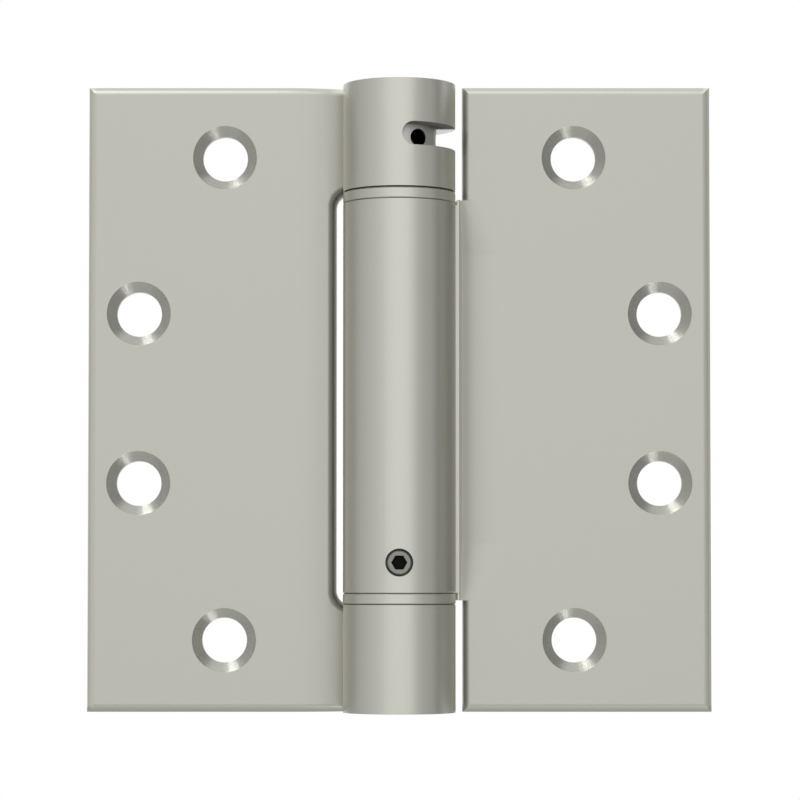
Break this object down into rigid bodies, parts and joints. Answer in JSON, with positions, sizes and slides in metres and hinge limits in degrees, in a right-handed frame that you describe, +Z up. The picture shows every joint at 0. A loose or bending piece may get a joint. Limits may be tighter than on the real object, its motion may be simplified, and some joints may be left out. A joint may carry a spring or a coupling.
{
  "type": "spring loaded door hinge",
  "caption": "Spring loaded door hinge with square plates, countersunk screw holes, rolled knuckles around a torsion spring, and a slotted top knuckle for setting the closing force.",
  "frame": {"origin": "on the pin axis, at the middle of the hinge's height", "axes": "+Z up along the pin axis, +X towards the leaf with the centre knuckle, +Y into the door and jamb; the countersunk faces look along -Y"},
  "size_m": [0.1138, 0.0205, 0.1142],
  "materials": {
    "satin_nickel": "satin",
    "turned_steel": "satin",
    "spring_steel": "satin",
    "black_oxide": "satin",
    "bronze": "satin"
  },
  "bodies": {
    "outer_leaf": {"outer_leaf": "satin_nickel", "top_cap": "satin_nickel", "bottom_cap": "satin_nickel", "lower_bush": "bronze", "lower_ring": "satin_nickel"},
    "centre_leaf": {"centre_leaf": "satin_nickel", "upper_ring": "satin_nickel", "upper_bush": "bronze", "anchor_plug": "turned_steel", "set_screw": "black_oxide", "torsion_spring": "spring_steel"},
    "tension_plug": {"tension_plug": "turned_steel"}
  },
  "joints": [
    {"name": "leaf_swing", "type": "hinge", "parent": "outer_leaf", "child": "centre_leaf", "pos_m": [0, 0, 0], "axis": [0, 0, -1], "range_deg": [0, 180]},
    {"name": "tension_wind", "type": "hinge", "parent": "centre_leaf", "child": "tension_plug", "pos_m": [0, 0, 0.0456], "axis": [0, 0, -1], "range_deg": [0, 180], "stiffness_Nm_per_rad": 1, "deforming": ["torsion_spring"]}
  ]
}
